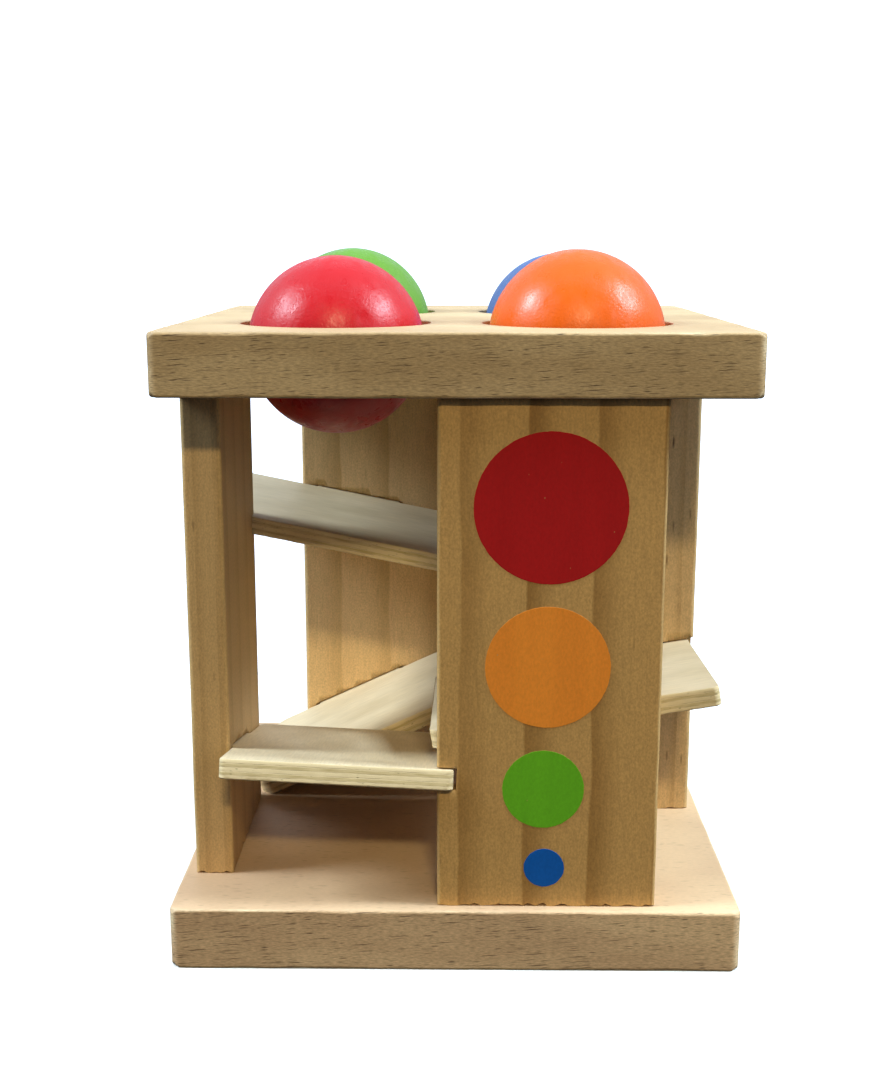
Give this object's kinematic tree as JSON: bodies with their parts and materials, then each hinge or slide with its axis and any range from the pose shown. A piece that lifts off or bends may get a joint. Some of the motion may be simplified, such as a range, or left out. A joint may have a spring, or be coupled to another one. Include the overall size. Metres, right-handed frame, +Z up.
{
  "type": "pounding ball tower",
  "caption": "Wooden pounding toy: balls are knocked through ring-lined holes in a square top board, roll down a winding stack of ramps between pinwheel side panels and leave at the bottom.",
  "frame": {"origin": "middle of the base board's underside, on the surface the tower stands on", "axes": "+Z up, -Y towards the pictured front, +X to the right of the front"},
  "size_m": [0.2014, 0.2014, 0.2501],
  "materials": {
    "beech": "clear satin lacquer",
    "pine": "clear satin lacquer",
    "plywood": "clear satin lacquer",
    "ring_rubber": "matt",
    "red_lacquer": "gloss paint",
    "orange_lacquer": "gloss paint",
    "green_lacquer": "gloss paint",
    "blue_lacquer": "gloss paint",
    "screw_steel": "zinc plated",
    "red_print": "satin paint",
    "orange_print": "satin paint",
    "green_print": "satin paint",
    "blue_print": "satin paint"
  },
  "bodies": {
    "tower": {"base_board": "beech", "top_board": "beech", "front_panel": "pine", "right_panel": "pine", "back_panel": "pine", "left_panel": "pine", "front_ramp": "plywood", "right_ramp": "plywood", "back_ramp": "plywood", "left_ramp": "plywood", "exit_ramp": "plywood", "front_left_grip_ring": "ring_rubber", "front_right_grip_ring": "ring_rubber", "back_left_grip_ring": "ring_rubber", "back_right_grip_ring": "ring_rubber", "base_screws": "screw_steel", "top_dowels": "beech", "red_dots": "red_print", "orange_dots": "orange_print", "green_dots": "green_print", "blue_dots": "blue_print"},
    "red_ball": {"red_ball": "red_lacquer"},
    "orange_ball": {"orange_ball": "orange_lacquer"},
    "green_ball": {"green_ball": "green_lacquer"},
    "blue_ball": {"blue_ball": "blue_lacquer"}
  },
  "joints": [
    {"name": "red_ball_drop", "type": "slide", "parent": "tower", "child": "red_ball", "axis": [0, 0, 1], "range_m": [-0.119, 0.05], "deforming": ["front_left_grip_ring"]},
    {"name": "orange_ball_drop", "type": "slide", "parent": "tower", "child": "orange_ball", "axis": [0, 0, 1], "range_m": [-0.096, 0.05], "deforming": ["front_right_grip_ring"]},
    {"name": "green_ball_drop", "type": "slide", "parent": "tower", "child": "green_ball", "axis": [0, 0, 1], "range_m": [-0.047, 0.05], "deforming": ["back_left_grip_ring"]},
    {"name": "blue_ball_drop", "type": "slide", "parent": "tower", "child": "blue_ball", "axis": [0, 0, 1], "range_m": [-0.07, 0.05], "deforming": ["back_right_grip_ring"]}
  ]
}
